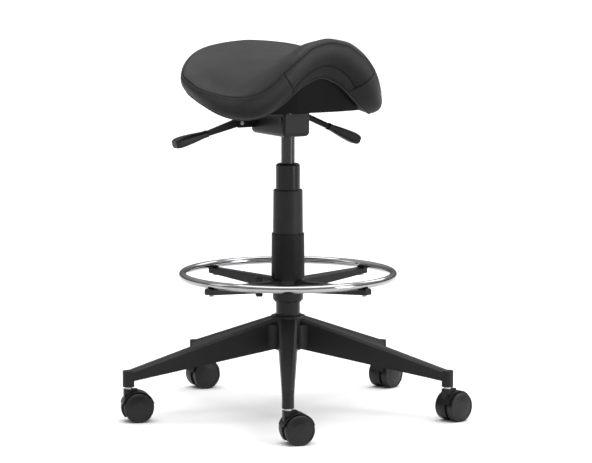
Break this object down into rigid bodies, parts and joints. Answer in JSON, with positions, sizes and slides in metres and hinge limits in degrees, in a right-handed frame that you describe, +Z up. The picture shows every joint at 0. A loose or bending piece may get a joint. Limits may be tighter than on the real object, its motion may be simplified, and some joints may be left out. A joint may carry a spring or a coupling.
{
  "type": "drafting stool",
  "caption": "Drafting stool with an upholstered saddle seat, lever-locked tilt, gas-lift column, height-adjustable chrome foot ring and a star base on twin-wheel casters.",
  "frame": {"origin": "on the floor, on the column's axis", "axes": "+Z up; the sitter faces -Y, so +X is the sitter's left"},
  "size_m": [0.7172, 0.6939, 0.7827],
  "materials": {
    "black_nylon": "fine grain, satin",
    "caster_tread": "smooth, satin",
    "black_steel": "black powder coat",
    "bright_steel": "zinc plated",
    "ring_chrome": "polished plating",
    "buffer_rubber": "matt",
    "seat_cover": "black coated upholstery, soft sheen"
  },
  "bodies": {
    "base": {"star_base": "black_nylon", "hub_collar": "black_nylon", "caster_sockets": "bright_steel", "column_tube": "black_steel", "guide_bush": "black_nylon", "thrust_bearing": "bright_steel"},
    "spindle": {"piston_rod": "bright_steel", "retaining_clip": "bright_steel", "rubber_buffer": "buffer_rubber", "piston": "bright_steel"},
    "lift": {"pressure_cylinder": "black_steel", "taper_socket": "bright_steel", "tilt_housing": "black_steel", "tilt_pivot_pin": "black_steel", "tilt_stop": "buffer_rubber", "lever_bracket": "black_steel", "lever_rivet": "bright_steel"},
    "seat": {"seat_plate": "black_steel", "seat_bolts": "bright_steel", "seat_pan": "black_nylon", "seat_pad": "seat_cover"},
    "height_lever": {"height_lever": "black_steel", "height_paddle": "black_nylon"},
    "release_button": {"release_button": "bright_steel"},
    "tilt_lever": {"tilt_lever": "black_steel", "tilt_paddle": "black_nylon"},
    "ring_slider": {"clamp_bush": "black_nylon"},
    "ring_frame": {"ring_spider": "black_nylon", "foot_ring": "ring_chrome", "ring_screws": "bright_steel", "lower_sleeve": "black_nylon", "upper_sleeve": "black_nylon"},
    "clamp_knob": {"clamp_knob": "black_nylon", "clamp_stud": "bright_steel"},
    "caster_1": {"caster_1_stem": "bright_steel", "caster_1_yoke": "black_nylon", "caster_1_axle": "bright_steel"},
    "caster_1_wheel_a": {"caster_1_wheel_a": "caster_tread"},
    "caster_1_wheel_b": {"caster_1_wheel_b": "caster_tread"},
    "caster_2": {"caster_2_stem": "bright_steel", "caster_2_yoke": "black_nylon", "caster_2_axle": "bright_steel"},
    "caster_2_wheel_a": {"caster_2_wheel_a": "caster_tread"},
    "caster_2_wheel_b": {"caster_2_wheel_b": "caster_tread"},
    "caster_3": {"caster_3_stem": "bright_steel", "caster_3_yoke": "black_nylon", "caster_3_axle": "bright_steel"},
    "caster_3_wheel_a": {"caster_3_wheel_a": "caster_tread"},
    "caster_3_wheel_b": {"caster_3_wheel_b": "caster_tread"},
    "caster_4": {"caster_4_stem": "bright_steel", "caster_4_yoke": "black_nylon", "caster_4_axle": "bright_steel"},
    "caster_4_wheel_a": {"caster_4_wheel_a": "caster_tread"},
    "caster_4_wheel_b": {"caster_4_wheel_b": "caster_tread"},
    "caster_5": {"caster_5_stem": "bright_steel", "caster_5_yoke": "black_nylon", "caster_5_axle": "bright_steel"},
    "caster_5_wheel_a": {"caster_5_wheel_a": "caster_tread"},
    "caster_5_wheel_b": {"caster_5_wheel_b": "caster_tread"}
  },
  "joints": [
    {"name": "seat_swivel", "type": "hinge", "parent": "base", "child": "spindle", "pos_m": [0, 0, 0.134], "axis": [0, 0, 1], "continuous": true},
    {"name": "seat_height", "type": "slide", "parent": "spindle", "child": "lift", "axis": [0, 0, 1], "range_m": [-0.04, 0.21]},
    {"name": "seat_tilt", "type": "hinge", "parent": "lift", "child": "seat", "pos_m": [0, -0.025, 0.609], "axis": [1, 0, 0], "range_deg": [0, 10]},
    {"name": "height_release", "type": "hinge", "parent": "lift", "child": "height_lever", "pos_m": [0.025, 0, 0.616], "axis": [0, -1, 0], "range_deg": [0, 10], "stiffness_Nm_per_rad": 2, "springref_deg": -5.73},
    {"name": "valve_press", "type": "slide", "parent": "lift", "child": "release_button", "axis": [0, 0, -1], "range_m": [0, 0.0044], "stiffness_N_per_m": 2, "springref_m": -0.0239},
    {"name": "tilt_release", "type": "hinge", "parent": "lift", "child": "tilt_lever", "pos_m": [-0.064, 0.085, 0.597], "axis": [0, 1, 0], "range_deg": [0, 12], "stiffness_Nm_per_rad": 2, "springref_deg": -5.73},
    {"name": "ring_height", "type": "slide", "parent": "base", "child": "ring_slider", "axis": [0, 0, 1], "range_m": [-0.022, 0.045]},
    {"name": "ring_turn", "type": "hinge", "parent": "ring_slider", "child": "ring_frame", "pos_m": [0, 0, 0.255], "axis": [0, 0, 1], "continuous": true},
    {"name": "knob_turn", "type": "hinge", "parent": "ring_frame", "child": "clamp_knob", "pos_m": [-0.05023, 0.029, 0.264], "axis": [-0.866, 0.5, 0], "range_deg": [0, 270]},
    {"name": "caster_1_swivel", "type": "hinge", "parent": "base", "child": "caster_1", "pos_m": [-0.1705, -0.29531, 0.068], "axis": [0, 0, 1], "continuous": true},
    {"name": "caster_1_roll_a", "type": "hinge", "parent": "caster_1", "child": "caster_1_wheel_a", "pos_m": [-0.15289, -0.29906, 0.03], "axis": [0.2079, 0.9781, 0], "continuous": true},
    {"name": "caster_1_roll_b", "type": "hinge", "parent": "caster_1", "child": "caster_1_wheel_b", "pos_m": [-0.15289, -0.29906, 0.03], "axis": [0.2079, 0.9781, 0], "continuous": true},
    {"name": "caster_2_swivel", "type": "hinge", "parent": "base", "child": "caster_2", "pos_m": [0.22817, -0.25341, 0.068], "axis": [0, 0, 1], "continuous": true},
    {"name": "caster_2_roll_a", "type": "hinge", "parent": "caster_2", "child": "caster_2_wheel_a", "pos_m": [0.24584, -0.24998, 0.03], "axis": [-0.1908, 0.9816, 0], "continuous": true},
    {"name": "caster_2_roll_b", "type": "hinge", "parent": "caster_2", "child": "caster_2_wheel_b", "pos_m": [0.24584, -0.24998, 0.03], "axis": [-0.1908, 0.9816, 0], "continuous": true},
    {"name": "caster_3_swivel", "type": "hinge", "parent": "base", "child": "caster_3", "pos_m": [0.31152, 0.1387, 0.068], "axis": [0, 0, 1], "continuous": true},
    {"name": "caster_3_roll_a", "type": "hinge", "parent": "caster_3", "child": "caster_3_wheel_a", "pos_m": [0.32843, 0.14485, 0.03], "axis": [-0.342, 0.9397, 0], "continuous": true},
    {"name": "caster_3_roll_b", "type": "hinge", "parent": "caster_3", "child": "caster_3_wheel_b", "pos_m": [0.32843, 0.14485, 0.03], "axis": [-0.342, 0.9397, 0], "continuous": true},
    {"name": "caster_4_swivel", "type": "hinge", "parent": "base", "child": "caster_4", "pos_m": [-0.03564, 0.33913, 0.068], "axis": [0, 0, 1], "continuous": true},
    {"name": "caster_4_roll_a", "type": "hinge", "parent": "caster_4", "child": "caster_4_wheel_a", "pos_m": [-0.01766, 0.3385, 0.03], "axis": [0.0349, 0.9994, 0], "continuous": true},
    {"name": "caster_4_roll_b", "type": "hinge", "parent": "caster_4", "child": "caster_4_wheel_b", "pos_m": [-0.01766, 0.3385, 0.03], "axis": [0.0349, 0.9994, 0], "continuous": true},
    {"name": "caster_5_swivel", "type": "hinge", "parent": "base", "child": "caster_5", "pos_m": [-0.33355, 0.0709, 0.068], "axis": [0, 0, 1], "continuous": true},
    {"name": "caster_5_roll_a", "type": "hinge", "parent": "caster_5", "child": "caster_5_wheel_a", "pos_m": [-0.31643, 0.06534, 0.03], "axis": [0.309, 0.9511, 0], "continuous": true},
    {"name": "caster_5_roll_b", "type": "hinge", "parent": "caster_5", "child": "caster_5_wheel_b", "pos_m": [-0.31643, 0.06534, 0.03], "axis": [0.309, 0.9511, 0], "continuous": true}
  ],
  "couplings": [
    {"joint": "valve_press", "follows": "height_release", "m_per_rad": 0.025}
  ]
}
